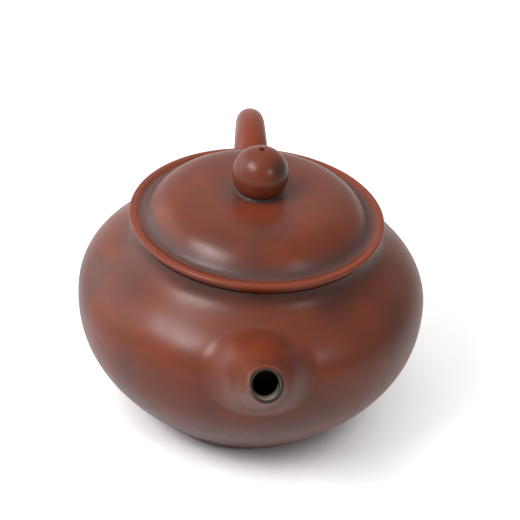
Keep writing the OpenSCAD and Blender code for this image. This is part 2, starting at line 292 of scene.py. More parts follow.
def clay_finish(name, roughness=0.36, redness=0.5, stain=0.07, specular=0.36, coat=0.07):
    material, tree = empty_material(name)
    place = add_node(tree, "ShaderNodeTexCoord")
    in_mm = add_node(tree, "ShaderNodeMapping", {"Scale": (1 / MM, 1 / MM, 1 / MM)})
    join(tree, place, in_mm, "Object", "Vector")

    dull = slow_noise(tree, in_mm, **DULL_PLACES)
    gloss = add_node(tree, "ShaderNodeMapRange", {"To Min": roughness - GLOSS_SPREAD,
                                                  "To Max": roughness + GLOSS_SPREAD})
    join(tree, dull, gloss, 0, "Value")
    matt = arithmetic(tree, "MULTIPLY_ADD", (attribute(tree, "stain"), "Fac"), STAIN_DULLS, (gloss, 0))
    surface = add_node(tree, "ShaderNodeBsdfPrincipled", {
        "Specular IOR Level": specular, "Coat Weight": coat, "Coat Roughness": COAT_ROUGHNESS})
    coloured = grained(tree, in_mm, mottled(tree, in_mm, redness, stain))
    join(tree, coloured, surface, MIXED_COLOUR, "Base Color")
    join(tree, matt, surface, 0, "Roughness")
    join(tree, skin(tree, in_mm), surface, 0, "Normal")
    output = add_node(tree, "ShaderNodeOutputMaterial")
    join(tree, surface, output, 0, "Surface")
    return material


burnished = clay_finish("burnished_clay")
lid_finish = clay_finish("lid_clay", roughness=0.31)
rim_finish = clay_finish("rubbed_rim_clay", roughness=0.33, redness=0.8, stain=0.1)
inner_finish = clay_finish("inner_clay", roughness=0.62, redness=0.4, stain=0.3, specular=0.3, coat=0.0)
print("finishes:", burnished.name, lid_finish.name, rim_finish.name, inner_finish.name)


# %% [markdown]
# ## Turning an outline
# Belly, neck, lid and knob are all round, so each is one outline carried round the axis. A Screw modifier
# does that too, but it leaves the seam and the poles to be closed afterwards. Here a Geometry Nodes tree
# does the turning, with the number of steps as a named input: a flat grid has one column for each step
# round the axis and one row for each point of the outline, every grid point takes the place of its outline
# point, is turned by its column's angle, and the doubles at the seam and the poles are merged.

# %% Build the turning tree
WELD = 0.001 * MM


def turning_tree():
    tree = bpy.data.node_groups.new("turn_outline", "GeometryNodeTree")
    inputs = (("Outline", "Geometry"), ("Points", "Int"), ("Steps round", "Int"), ("Clay", "Material"))
    for name, kind in inputs:
        tree.interface.new_socket(name, in_out="INPUT", socket_type="NodeSocket" + kind)
    tree.interface.new_socket("Turned", in_out="OUTPUT", socket_type="NodeSocketGeometry")
    given = tree.nodes.new("NodeGroupInput")
    result = tree.nodes.new("NodeGroupOutput")

    columns = arithmetic(tree, "ADD", (given, "Steps round"), 1.0)
    grid = add_node(tree, "GeometryNodeMeshGrid")
    join(tree, columns, grid, 0, "Vertices X")
    join(tree, given, grid, "Points", "Vertices Y")
    index = add_node(tree, "GeometryNodeInputIndex")
    share = arithmetic(tree, "DIVIDE", (index, 0), (given, "Points"))
    column = arithmetic(tree, "FLOOR", (share, 0))
    row = arithmetic(tree, "MODULO", (index, 0), (given, "Points"))
    turn = arithmetic(tree, "DIVIDE", (column, 0), (given, "Steps round"))
    angle = arithmetic(tree, "MULTIPLY", (turn, 0), 2 * math.pi)

    sample = add_node(tree, "GeometryNodeSampleIndex", data_type="FLOAT_VECTOR")
    spot = add_node(tree, "GeometryNodeInputPosition")
    join(tree, given, sample, "Outline", "Geometry")
    join(tree, spot, sample, 0, "Value")
    join(tree, row, sample, 0, "Index")
    spin = add_node(tree, "ShaderNodeVectorRotate", rotation_type="Z_AXIS")
    join(tree, sample, spin, "Value", "Vector")
    join(tree, angle, spin, 0, "Angle")
    placed = add_node(tree, "GeometryNodeSetPosition")
    join(tree, grid, placed, "Mesh", "Geometry")
    join(tree, spin, placed, "Vector", "Position")

    merged = add_node(tree, "GeometryNodeMergeByDistance", {"Distance": WELD})
    join(tree, placed, merged)
    real = add_node(tree, "GeometryNodeRealizeInstances")
    join(tree, merged, real)
    coated = add_node(tree, "GeometryNodeSetMaterial")
    join(tree, real, coated, 0, "Geometry")
    join(tree, given, coated, "Clay", "Material")
    join(tree, coated, result)
    return tree


TURNING = turning_tree()
print("turning tree has", len(TURNING.nodes), "nodes")


# %% [markdown]
# ## Finishing a mesh
# Whatever made a mesh, it is finished in the same way: doubles merged, faces pointing outwards, smooth
# shading with only the real corners left sharp, then the four attributes for the clay's colours. A mesh is
# either turned, from an outline and the tree above, or skinned over a row of rings.

# %% Mesh helpers
DOUBLES = 0.0005 * MM
CORNER = 40.0
STEPS_SEEN, STEPS_HIDDEN = 256, 192


def link_mesh(name, mesh):
    made = bpy.data.objects.new(name, mesh)
    scene.collection.objects.link(made)
    return made


def finished(name, mesh, material, corner):
    work = bmesh.new()
    work.from_mesh(mesh)
    bmesh.ops.remove_doubles(work, verts=work.verts, dist=DOUBLES)
    bmesh.ops.recalc_face_normals(work, faces=work.faces)
    work.to_mesh(mesh)
    work.free()
    mesh.shade_smooth()
    mesh.set_sharp_from_angle(angle=math.radians(corner))
    mesh.materials.clear()
    mesh.materials.append(material)
    print(f"{name}: {len(mesh.vertices)} points, {len(mesh.polygons)} faces")
    return link_mesh(name, mesh)


def socket_id(tree, name):
    return next(item.identifier for item in tree.interface.items_tree if item.name == name)


def turned(name, outline, material, steps=STEPS_SEEN):
    loop = [*outline, outline[0]]
    line = bpy.data.meshes.new(name + "_outline")
    line.from_pydata([(r * MM, 0.0, z * MM) for r, z in loop], [], [])
    source = link_mesh(name + "_outline", line)
    maker = source.modifiers.new("turn", "NODES")
    maker.node_group = TURNING
    maker[socket_id(TURNING, "Points")] = len(loop)
    maker[socket_id(TURNING, "Steps round")] = steps
    maker[socket_id(TURNING, "Clay")] = material
    graph = bpy.context.evaluated_depsgraph_get()
    mesh = bpy.data.meshes.new_from_object(source.evaluated_get(graph))
    bpy.data.objects.remove(source)
    return finished(name, mesh, material, CORNER)


def skinned(name, rings, material, closed=False, corner=CORNER):
    rings = np.asarray(rings)
    count, sides, _ = rings.shape
    last = count if closed else count - 1
    faces = [(j * sides + i, j * sides + (i + 1) % sides,
              (j + 1) % count * sides + (i + 1) % sides, (j + 1) % count * sides + i)
             for j in range(last) for i in range(sides)]
    if not closed:
        faces += [tuple(range(sides)), tuple(range((count - 1) * sides, count * sides))]
    mesh = bpy.data.meshes.new(name)
    mesh.from_pydata((rings.reshape(-1, 3) * MM).tolist(), [], faces)
    return finished(name, mesh, material, corner)


# %% Helpers for paint and place
def points_of(mesh):
    flat = np.empty(len(mesh.vertices) * 3)
    mesh.vertices.foreach_get("co", flat)
    return flat.reshape(-1, 3) / MM


def paint(piece, stain=0.0, rub=0.0, scale_and_light=0.0, soot_and_shade=0.0):
    spots = points_of(piece.data)
    for name, value in (("stain", stain), ("rub", rub), ("scale_and_light", scale_and_light), ("soot_and_shade", soot_and_shade)):
        layer = piece.data.attributes.new(name, "FLOAT", "POINT")
        amount = value(spots) if callable(value) else np.full(len(spots), float(value))
        layer.data.foreach_set("value", np.clip(amount, 0, 1).astype(np.float32))


def belongs(piece, body, node):
    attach(piece, body)
    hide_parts(node)
    print(f"{piece.name} takes the place of {node} and rides on the {body}")


# %% [markdown]
# ## Outline of the wall
# The belly is not an arc: it is fuller low on the shoulder and runs almost straight down to the foot. It
# could be drawn as a Bezier line with handles, but two power curves, one above and one below the widest
# place, need fewer sizes, and every other piece can ask them how far out the wall is. A soft maximum bends
# the upper one into the neck. It lies a little too high, and raised_to takes that off beforehand, so the
# belly keeps its radius. The hollow follows at an even wall thickness. A box can't tell how full a curve
# is, so these sizes are named here, in millimetres.

# %% The wall's curves
belly_r, belly_z = 45.0, 32.4
lower_r, lower_power, lower_turn = 26.0, 2.26, 1.25
shoulder_h, shoulder_power = 26.2, 2.54
neck_r, neck_soft = 29.7, 6.8
wall_t, mouth_r = 2.8, 26.7
SLOPE_STEP = 0.1


def soft_max(first, second, soft):
    return (first + second + np.sqrt((first - second) ** 2 + soft ** 2)) / 2


def raised_to(value, second, soft):
    return value - soft ** 2 / (4 * (value - second))


def wall_r(z):
    z = np.asarray(z, float)
    under = np.clip(1 - z / belly_z, 0, 1)
    lower = lower_r + (belly_r - lower_r) * (1 - under ** lower_power) ** lower_turn
    closing = 1 - np.clip((z - belly_z) / shoulder_h, 0, None) ** shoulder_power
    upper = soft_max(raised_to(belly_r, neck_r, neck_soft) * closing, neck_r, neck_soft)
    return np.where(z < belly_z, lower, upper)


def wall_slope(z):
    return (wall_r(np.asarray(z) + SLOPE_STEP) - wall_r(np.asarray(z) - SLOPE_STEP)) / (2 * SLOPE_STEP)


def hollow_r(z):
    inside = wall_r(z) - wall_t * np.sqrt(1 + wall_slope(z) ** 2)
    return np.where(np.asarray(z) < belly_z, inside, np.maximum(mouth_r, inside))


print(f"at the seam the wall stands {float(wall_r(seam_z)):.2f} mm out and is "
      f"{float(wall_r(seam_z) - hollow_r(seam_z)):.2f} mm across")


# %% [markdown]
# ## Outline and paint helpers
# An outline is a list of points, radius and height. Where two pieces meet, the first step off the joint is
# tiny, so the shading of both runs on over it. Paint fades with a soft step, along a height, a radius or
# the distance from a spot.

# %% Outline and paint helpers
FIRST_STEP = 0.03
SMUDGE_CORE = 0.15


def span(start, stop, step):
    return np.linspace(start, stop, max(2, int(round(abs(stop - start) / step)) + 1))


def joint_span(start, stop, step):
    near = FIRST_STEP if stop > start else -FIRST_STEP
    return np.concatenate([[start], span(start + near, stop - near, step), [stop]])


def outline_of(radius, heights):
    return [(float(radius(z)), float(z)) for z in heights]


def arc(r, z, size_r, size_z, start, stop, count):
    return [(r + size_r * math.cos(math.radians(a)), z + size_z * math.sin(math.radians(a)))
            for a in np.linspace(start, stop, count)]


def soft_step(value, start, stop):
    share = np.clip((value - start) / (stop - start), 0, 1)
    return share * share * (3 - 2 * share)


def from_axis(spots):
    return np.hypot(spots[:, 0], spots[:, 1])


def height(spots):
    return spots[:, 2]


def smudge(spots, place, spread):
    return soft_step(np.linalg.norm(spots - np.array(place), axis=1), spread, SMUDGE_CORE * spread)


# %% [markdown]
# ## Belly, shoulder, neck and mouth
# These are the slabs and rings that are seen from outside. One outline for all four would be simpler, but
# each is a piece of clay of its own, with its own finish and wear. Their clay was smoothed over the joints,
# so each piece starts with the very point that the last one ends with, and the shading runs on. The neck is
# a little hollow, and the bead round the mouth is round in section.

# %% Turn the belly and the shoulder
BELLY_STEP, SHOULDER_STEP, NECK_STEP = 0.5, 0.3, 0.2
belly_line = (outline_of(wall_r, joint_span(foot_h, seam_z, BELLY_STEP))
              + outline_of(hollow_r, span(seam_z, floor_z, BELLY_STEP)))
belly = turned("belly_clay", [(disc_r, foot_h), *belly_line, (disc_r, floor_z)], burnished)
shoulder_zs = joint_span(seam_z, neck_z, SHOULDER_STEP)
shoulder_line = outline_of(wall_r, shoulder_zs) + outline_of(hollow_r, shoulder_zs[::-1])
shoulder = turned("shoulder_clay", shoulder_line, burnished)

# %% Turn the neck and the mouth
mouth_soft = 0.4
neck_line = outline_of(wall_r, joint_span(neck_z, bead_z, NECK_STEP))
neck = turned("neck_clay", [(mouth_r, neck_z), *neck_line, (mouth_r, bead_z)], burnished)
bead_half, bulge = (mouth_z - bead_z) / 2, (mouth_z - bead_z) / 3
bead_line = arc(bead_r - bulge, bead_z + bead_half, bulge, bead_half, -90, 90, count=20)
inner_edge = arc(mouth_r + mouth_soft, mouth_z - mouth_soft, mouth_soft, mouth_soft, 90, 180, count=6)
bead = turned("mouth_clay", [(mouth_r, bead_z), *bead_line, *inner_edge], rim_finish)


# %% [markdown]
# ## Wear and painted shade of the pot
# The belly turns greyer towards the foot, and slip darkens the top of the shoulder. The neck under the lid
# and the top of the shoulder are painted darker as shade. Soot from the kiln has settled in two soft marks,
# on the right and the left of the shoulder. The bead is rubbed redder where the lid goes on and off. All this
# could be brushed on by hand in Weight Paint, but a fade between two heights or two radii says it in one line
# and comes out the same each time. Every pair below is such a fade, from nothing to full.

# %% Paint the belly, the shoulder, the neck and the mouth
FIRE_MARKS = (((27, 18, 50.5), 10, 0.55), ((17.5, -31, 47.5), 10, 0.35))
# the neck's two dark amounts are painted shade under the lid, not soot
GREY_AMOUNT, NECK_SHADE, UNDER_LID_SHADE, BEAD_RUB = 0.2, 0.38, 0.2, 0.8
FOOT_GREYING, SHOULDER_SLIP, SHOULDER_TOP_SHADE = (14, 4), (seam_z + 2, neck_z), (neck_z - 2.5, neck_z)
UNDER_LID, BEAD_EDGE = (neck_z, bead_z), (bead_r - 1.2, bead_r - 0.2)


def fire_marks(spots):
    return sum(depth * smudge(spots, place, spread) for place, spread, depth in FIRE_MARKS)


# painted shade at the top of the shoulder under the lid, together with the two soot marks
def shoulder_shade_and_soot(spots):
    return np.maximum(NECK_SHADE * soft_step(height(spots), *SHOULDER_TOP_SHADE), fire_marks(spots))


# painted shade over the whole neck, darkest right under the lid
def neck_shade(spots):
    return NECK_SHADE + UNDER_LID_SHADE * soft_step(height(spots), *UNDER_LID)


# the belly turns greyer towards the foot
paint(belly, stain=lambda p: GREY_AMOUNT * soft_step(height(p), *FOOT_GREYING), soot_and_shade=fire_marks)
# the dark layer of the shoulder's top and of the neck is painted shade
paint(shoulder, stain=lambda p: GREY_AMOUNT * soft_step(height(p), *SHOULDER_SLIP), soot_and_shade=shoulder_shade_and_soot)
paint(neck, stain=GREY_AMOUNT, soot_and_shade=neck_shade)
paint(bead, stain=0.1, rub=lambda p: BEAD_RUB * soft_step(from_axis(p), *BEAD_EDGE))
belongs(belly, "pot", "body_wall")
belongs(shoulder, "pot", "shoulder_disc")
belongs(neck, "pot", "neck_ring")
belongs(bead, "pot", "mouth_rim")


# %% [markdown]
# ## Base and foot
# The underside is a flat disc inside a low foot ring. The ring's edges are softened with a wet leather. A
# Bevel modifier would do that, but two quarter turns in the outline do it where the ring is made. It is
# left matter than the rest because nobody burnishes it.

# %% Make the base and the foot ring
foot_w, foot_soft = 3.0, 0.5
foot_in = foot_r - foot_w
base_line = [(0.0, foot_h), (disc_r, foot_h), (disc_r, floor_z), (0.0, floor_z)]
base = turned("base_clay", base_line, inner_finish, steps=STEPS_HIDDEN)
foot_line = [(foot_in, foot_h),
             *arc(foot_in + foot_soft, foot_soft, foot_soft, foot_soft, 180, 270, count=8),
             *arc(foot_r - foot_soft, foot_soft, foot_soft, foot_soft, 270, 360, count=8),
             (foot_r, foot_h)]
foot = turned("foot_clay", foot_line, inner_finish, steps=STEPS_HIDDEN)
paint(base, stain=0.3)
paint(foot, stain=0.4, rub=lambda p: 0.3 * soft_step(height(p), foot_soft, 0.0))
belongs(base, "pot", "base_disc")
belongs(foot, "pot", "foot_ring")


# %% [markdown]
# ## The spout's line
# A cannon spout is a tapered roll, pierced with a stick and luted over the hole in the belly. It is told
# along its own line: how far a point is from the lip, how far out from the line, and at what angle round
# it. Where a line meets the belly has no formula, so it is found by halving, on all sides of the spout at
# once.

# %% Find where the spout meets the belly
spout_reach, spout_tip_z, spout_rise = 60.0, 49.2, math.radians(31)
SIDES = 128
HALVINGS = 40
around = np.linspace(0, 2 * math.pi, SIDES, endpoint=False)


def spout_point(r, angle, s):
    across = r * np.cos(angle)
    return np.stack([spout_reach - s * math.cos(spout_rise) + across * math.sin(spout_rise),
                     r * np.sin(angle),
                     spout_tip_z - s * math.sin(spout_rise) - across * math.cos(spout_rise)], axis=-1)


def clear_of_belly(spots):
    return np.hypot(spots[..., 0], spots[..., 1]) - wall_r(spots[..., 2])


def halved(is_clear, near, far):
    for _ in range(HALVINGS):
        middle = (near + far) / 2
        clear = is_clear(middle)
        near, far = np.where(clear, middle, near), np.where(clear, far, middle)
    return near, far


def depth_where(r, angle, near=5.0, far=32.0):
    near, far = halved(lambda s: clear_of_belly(spout_point(r, angle, s)) > 0,
                       np.full(np.shape(angle), near), np.full(np.shape(angle), far))
    return (near + far) / 2


def bezier(corners, t):
    a, b, c, d = corners
    return (1 - t) ** 3 * a + 3 * t * (1 - t) ** 2 * b + 3 * t * t * (1 - t) * c + t ** 3 * d


spout_l = float(depth_where(0.0, np.zeros(1))[0])
print(f"the spout's line runs {spout_l:.1f} mm from the lip to the belly")


# %% [markdown]
# ## Spout
# The potter drags the clay of the spout's root out over the belly until there is no edge, further to the
# sides than up and down. A Boolean union with a bevel along the joint is the usual way in Blender, but on
# two curved surfaces it leaves an uneven seam. The loft works as the potter does: each section leaves the
# straight cone and lands on the belly along the belly's own slope, so light runs over the joint without a
# line. The loft goes on over the lip and down the bore, and closes inside the wall.

# %% The spout's sections
spout_tip_r, spout_taper, spout_swell = 4.2, 0.17, 0.005
spout_cut = math.tan(math.radians(25))
spout_root_r, spout_spread, spout_blend = 11.2, 3.6, 6.0
CONE_PULL, ROOT_PULL, LEAN_STEP, ROOT_RINGS = 2.4, 0.55, 0.4, 30
SKIRT = ((1.2, 0.9), (1.0, 0.06), (0.5, 0.015))
lip_soft, bore_soft, lip_reach = 0.55, 0.35, 4
spout_bore_r, spout_bore_l, passage_r = 3.05, 8.0, 5.6
BORE_DEPTHS = (1.8, 3.0, 5.0, 7.0, spout_bore_l, 10.0, 13.0, 16.0, spout_l - 0.5)
CONE_SHARES = np.linspace(0.06, 1, 14)
LIP_TURN, BORE_TURN = np.radians(np.linspace(0, 90, 8)[1:]), np.radians(np.linspace(0, 90, 7))
lip_tilt = -spout_cut * np.cos(around)


def cone_r(s):
    return spout_tip_r + spout_taper * s + spout_swell * np.maximum(s, 0) ** 2


def root_rings(start):
    root = spout_root_r + spout_spread * np.sin(around) ** 2
    landing = depth_where(root, around)
    lean = (depth_where(root + LEAN_STEP, around) - depth_where(root - LEAN_STEP, around)) / (2 * LEAN_STEP)
    pull = ROOT_PULL * (root - cone_r(start))
    corners = [np.stack([np.full(SIDES, cone_r(start)), np.full(SIDES, start)]),
               np.stack([cone_r(np.full(SIDES, start + CONE_PULL)), np.full(SIDES, start + CONE_PULL)]),
               np.stack([root - pull, landing - pull * lean]), np.stack([root, landing])]
    rings = [spout_point(root + out, around, depth_where(root + out, around) + sunk) for out, sunk in SKIRT]
    for t in np.linspace(1, 0, ROOT_RINGS):
        r, s = bezier(corners, t)
        rings.append(spout_point(r, around, s))
    return rings


def cone_rings(start):
    rings = []
    for share in CONE_SHARES:
        s = start * (1 - share) + share * (lip_tilt * spout_tip_r + lip_soft)
        rings.append(spout_point(cone_r(s), around, s))
    return rings


def lip_rings():
    rings = []
    for a in LIP_TURN:
        r = cone_r(0) + spout_taper * lip_tilt * lip_reach - lip_soft * (1 - math.cos(a))
        rings.append(spout_point(r, around, lip_tilt * r + lip_soft * (1 - math.sin(a))))
    for a in BORE_TURN:
        r = spout_bore_r + bore_soft * (1 - math.sin(a))
        rings.append(spout_point(r, around, lip_tilt * r + bore_soft * (1 - math.cos(a))))
    return rings


def bore_rings():
    widening = (passage_r - spout_bore_r) / (spout_l - spout_bore_l)
    return [spout_point(spout_bore_r + widening * max(0.0, s - spout_bore_l), around, np.full(SIDES, s))
            for s in BORE_DEPTHS]


# %% Loft the spout
root_start = spout_l - spout_blend
print(f"the cone is {2 * cone_r(0):.1f} mm thick at the lip and {2 * cone_r(root_start):.1f} mm at its root")
spout_loft = [*root_rings(root_start), *cone_rings(root_start), *lip_rings(), *bore_rings()]
spout = skinned("spout_clay", spout_loft, burnished, closed=True, corner=50)


# %% [markdown]
# ## Wear and painted shade of the spout
# The lip has soot on it, and the bore inside it is painted dark as shade. Low down in the bore a pale scale
# is painted, partly a painted pool of light where the lamps reach in, and a ring of painted shade lies in the
# crease round the root, on its upper and right side. All three are told along the spout's own line, each by
# the pairs of distances between which it fades in.

# %% Paint the spout
# LIP_INSIDE darkens the inner lip and the bore as painted shade
LIP_LENGTH, LIP_OUTSIDE, LIP_INSIDE = (-2.4, -1.0), (4.15, 3.85), (3.9, 3.3)
# the bore's pale layer is scale and a painted pool of light on its lower wall
BORE_SCALE_AND_LIGHT, BORE_WALL, BORE_FLOOR, BORE_LENGTH = 0.9, (3.25, 3.08), (48.4, 47.2), (-5.0, -3.0)
# a ring of painted shade in the crease round the root, on its upper and right side
ROOT_SHADE, ROOT_SHADE_INSIDE, ROOT_SHADE_OUTSIDE, ROOT_SHADE_UPPER_RIGHT = 0.3, (7.8, 9.0), (11.4, 9.4), (42.0, 50.0)


def ahead_of_lip(spots):
    out, up = spots[:, 0] - spout_reach, spots[:, 2] - spout_tip_z
    return out * math.cos(spout_rise) + up * math.sin(spout_rise)


def from_line(spots):
    ahead = ahead_of_lip(spots)
    middle_z = spout_tip_z + ahead * math.sin(spout_rise)
    middle_x = spout_reach + ahead * math.cos(spout_rise)
    return np.sqrt((spots[:, 0] - middle_x) ** 2 + spots[:, 1] ** 2 + (spots[:, 2] - middle_z) ** 2)


# soot on the lip's face, and painted shade down the bore
def lip_soot_and_bore_shade(spots):
    lip = soft_step(ahead_of_lip(spots), *LIP_LENGTH) * soft_step(from_line(spots), *LIP_OUTSIDE)
    return np.maximum(lip, soft_step(from_line(spots), *LIP_INSIDE))


# pale scale low in the bore, painted brighter where the light falls in
def bore_scale_and_light(spots):
    lit = soft_step(from_line(spots), *BORE_WALL) * soft_step(height(spots), *BORE_FLOOR)
    return BORE_SCALE_AND_LIGHT * lit * soft_step(ahead_of_lip(spots), *BORE_LENGTH)


# painted shade in the crease round the spout's root, upper and right side only
def root_crease_shade(spots):
    ring = soft_step(from_line(spots), *ROOT_SHADE_INSIDE) * soft_step(from_line(spots), *ROOT_SHADE_OUTSIDE)
    return ROOT_SHADE * ring * soft_step(spots[:, 1] + height(spots), *ROOT_SHADE_UPPER_RIGHT)


# on the spout the stain layer is painted shade, the dark layer soot and painted shade, the pale layer scale
# and painted light
paint(spout, stain=root_crease_shade, soot_and_shade=lip_soot_and_bore_shade, scale_and_light=bore_scale_and_light)
belongs(spout, "pot", "spout")


# %% [markdown]
# ## Handle
# The handle is a roll of clay bent into an ear. It is thickest at its upper root and thins towards the
# lower one, which the maker's hand has set a little to one side. A curve object with a round bevel is the
# quick way to make it, but it can't run out into the belly. So the middle line is three Bezier curves in
# plain numbers, and round sections are placed along them one by one.

# %% The handle's line and section
handle_d, finger_gap, handle_bend, handle_top = 8.3, 14.8, 15.8, 57.5
root_top_z, root_low_z, root_in = 45.5, 15.5, 6.0
handle_thinning, handle_swell, handle_flare, handle_lean = 0.7, 1.9, 1.1, 1.3
SWELL_RUN, FLARE_RUN = 2.4, 5.14
ROUND = 0.5523
NEARBY = 0.002
HANDLE_RINGS = 90
bend_top = np.array([-(belly_r + finger_gap + handle_d / 2 - handle_bend), handle_top - handle_d / 2])
bend_back = bend_top - handle_bend
round_pull = ROUND * handle_bend
root_top = np.array([-(float(wall_r(root_top_z)) - root_in), root_top_z])
root_low = np.array([-(float(wall_r(root_low_z)) - root_in), root_low_z])
rise_pull, crest_pull, fall_pull, low_pull = (-3.2, 5.0), (6.5, 0), (0, 9.5), (-12.5, 3.2)
HANDLE_PATHS = (
    (root_top, root_top + rise_pull, bend_top + crest_pull, bend_top),
    (bend_top, bend_top - [round_pull, 0], bend_back + [0, round_pull], bend_back),
    (bend_back, bend_back - fall_pull, root_low + low_pull, root_low))


def handle_middle(share):
    part = min(2, int(share * 3))
    return bezier(HANDLE_PATHS[part], share * 3 - part)


def handle_ahead(share):
    ahead = handle_middle(min(1, share + NEARBY)) - handle_middle(max(0, share - NEARBY))
    return ahead / np.linalg.norm(ahead)


def handle_ring(share):
    middle, ahead = handle_middle(share), handle_ahead(share)
    near_top, near_low = max(0.0, 1 - share * SWELL_RUN), max(0.0, 1 - (1 - share) * FLARE_RUN)
    r = handle_d / 2 - handle_thinning * share + handle_swell * near_top ** 2 + handle_flare * near_low ** 2
    side, aside = r * np.cos(around), handle_lean * share
    return np.stack([middle[0] - ahead[1] * side, aside + r * np.sin(around), middle[1] + ahead[0] * side],
                    axis=-1)


handle_line = np.array([handle_middle(share) for share in np.linspace(0, 1, HANDLE_RINGS)])
handle_l = np.linalg.norm(np.diff(handle_line, axis=0), axis=1).sum()
print(f"the handle's middle line is {handle_l:.0f} mm long")


# %% [markdown]
# ## The handle's roots
# At both ends the clay is drawn out over the belly, as at the spout. From its last ring the skin runs on
# straight to the belly, turns and lands along it. The landing is kept below the mouth's bead, because the
# upper root is close under it, and its last two rings close inside the wall.

# %% Draw out the roots
HANDLE_START, HANDLE_STOP = 0.17, 0.835
ROOT_SPREAD, DRAWN_RINGS, DRAWN_PULL = 2.4, 22, 0.62
LANDING_TOP, LANDING_SOFT = neck_z - 0.3, 2.4
SKIRT_OUT, JUST_SUNK, BURIED = 0.8, np.array([0.998, 0.998, 1.0]), np.array([0.96, 0.96, 1.0])
ROOT_REACH = 30.0


def onto_belly(spots):
    level = LANDING_TOP - soft_max(LANDING_TOP - spots[:, 2], 0.0, LANDING_SOFT)
    scale = wall_r(level) / np.hypot(spots[:, 0], spots[:, 1])
    return np.stack([spots[:, 0] * scale, spots[:, 1] * scale, level], axis=-1)


def drawn_root(share, towards):
    ring, middle, ahead = handle_ring(share), handle_middle(share), handle_ahead(share)
    way = towards * np.array([ahead[0], 0, ahead[1]])
    straight, _ = halved(lambda step: clear_of_belly(ring + step[:, None] * way) > 0,
                         np.zeros(SIDES), np.full(SIDES, ROOT_REACH))
    foot_print = ring + straight[:, None] * way
    out = ring - np.array([middle[0], handle_lean * share, middle[1]])
    out /= np.linalg.norm(out, axis=1)[:, None]
    landing = onto_belly(foot_print + ROOT_SPREAD * out)
    corners = (ring, ring + DRAWN_PULL * (foot_print - ring),
               landing + DRAWN_PULL * (foot_print - landing), landing)
    drawn = [bezier(corners, t) for t in np.linspace(0, 1, DRAWN_RINGS)]
    beyond = onto_belly(foot_print + (ROOT_SPREAD + SKIRT_OUT) * out)
    return [*drawn, beyond * JUST_SUNK, beyond * BURIED]


upper_root = drawn_root(HANDLE_START, -1)[::-1]
lower_root = drawn_root(HANDLE_STOP, 1)
ear = [handle_ring(share) for share in np.linspace(HANDLE_START, HANDLE_STOP, HANDLE_RINGS)[1:-1]]
handle = skinned("handle_clay", [*upper_root, *ear, *lower_root], burnished)
paint(handle, rub=0.9)
belongs(handle, "pot", "handle")


# %% [markdown]
# ## Lid
# The lid is a plate with a rounded edge, a soft groove inside the edge, and a dome luted on it. Under the
# plate hangs the flange that keeps the lid in the mouth. The dome is flat on top and turns down late. No
# part of a ball does that, so it is a power curve too, and its foot fades to nothing in the groove, so that
# no line shows where it was luted on.

# %% Make the lid's plate
band_w, low_turn, top_turn, flange_t = 1.2, 1.05, 0.60, 2.3
band_r, groove_r, hole_r = lid_r - band_w, dome_r + 0.1, flange_r - flange_t
edge_line = [*arc(lid_r - low_turn, mouth_z + low_turn, low_turn, low_turn, -90, 0, count=10),
             *arc(lid_r - top_turn, lid_top_z - top_turn, top_turn, top_turn, 0, 90, count=14)]
groove_t = lid_top_z - seat_z
slope_line = [(band_r + (groove_r - band_r) * t, lid_top_z - groove_t * (1 - math.cos(math.pi * t)) / 2)
              for t in np.linspace(0, 1, 14)]
plate = turned("plate_clay", [(hole_r, mouth_z), *edge_line, *slope_line, (hole_r, seat_z)], rim_finish)

# %% Make the dome
dome_h, dome_t, air_r = dome_z - seat_z, 2.3, 0.7
dome_fall, dome_spread, dome_power, dome_turn, dome_soft = 12.1, 2.2, 7.7, 1.67, 1.2
DOME_POINTS, FOOT_FADE, FOOT_WALL = 90, 24, 1.3


def dome_line(r, h):
    shares = np.linspace(1, air_r / r, DOME_POINTS)
    fallen = dome_fall * (1 - (1 - (shares / (1 + dome_spread / dome_r)) ** dome_power) ** dome_turn)
    heights = soft_max(raised_to(h, 0, dome_soft) - fallen, 0, dome_soft)
    heights = seat_z + heights - heights[0] * shares ** FOOT_FADE
    return list(zip((shares * r).tolist(), heights.tolist()))


outer_dome = dome_line(dome_r, dome_h)
inner_dome = dome_line(dome_r - dome_t * FOOT_WALL, dome_h - dome_t)
dome = turned("dome_clay", outer_dome + inner_dome[::-1], lid_finish)

# %% Make the flange
flange_soft = flange_t / 4
turn_z = flange_low_z + flange_soft
flange_line = [(hole_r, mouth_z),
               *arc(hole_r + flange_soft, turn_z, flange_soft, flange_soft, 180, 270, count=8),
               *arc(flange_r - flange_soft, turn_z, flange_soft, flange_soft, 270, 360, count=8),
               (flange_r, mouth_z)]
flange = turned("flange_clay", flange_line, inner_finish, steps=STEPS_HIDDEN)


# %% [markdown]
# ## Wear of the lid
# Hands and cloth keep the edge of the plate bright. Slip and tea have stained the groove grey on both sides
# of the dome's foot, and the cloth doesn't reach the places left and right of the knob.

# %% Paint the lid
EDGE_RUB, RUB_EDGE = 0.9, (groove_r + 0.2, band_r + 0.1)
GROOVE_STAIN, GROOVE_INSIDE, GROOVE_OUTSIDE = 0.85, (25.5, 28.2), (30.7, 28.6)
KNOB_SIDE_STAIN, KNOB_SIDE, KNOB_SIDE_W = 0.6, (13, 7), 8


def groove_stain(spots):
    r = from_axis(spots)
    return GROOVE_STAIN * soft_step(r, *GROOVE_INSIDE) * soft_step(r, *GROOVE_OUTSIDE)


def dome_stain(spots):
    beside_knob = soft_step(from_axis(spots), *KNOB_SIDE) * abs(spots[:, 1]) / KNOB_SIDE_W
    return np.maximum(groove_stain(spots), KNOB_SIDE_STAIN * beside_knob)


paint(plate, rub=lambda p: EDGE_RUB * soft_step(from_axis(p), *RUB_EDGE), stain=groove_stain)
paint(dome, stain=dome_stain)
paint(flange, stain=0.15)
belongs(plate, "lid", "lid_plate")
belongs(dome, "lid", "lid_dome")
belongs(flange, "lid", "lid_flange")


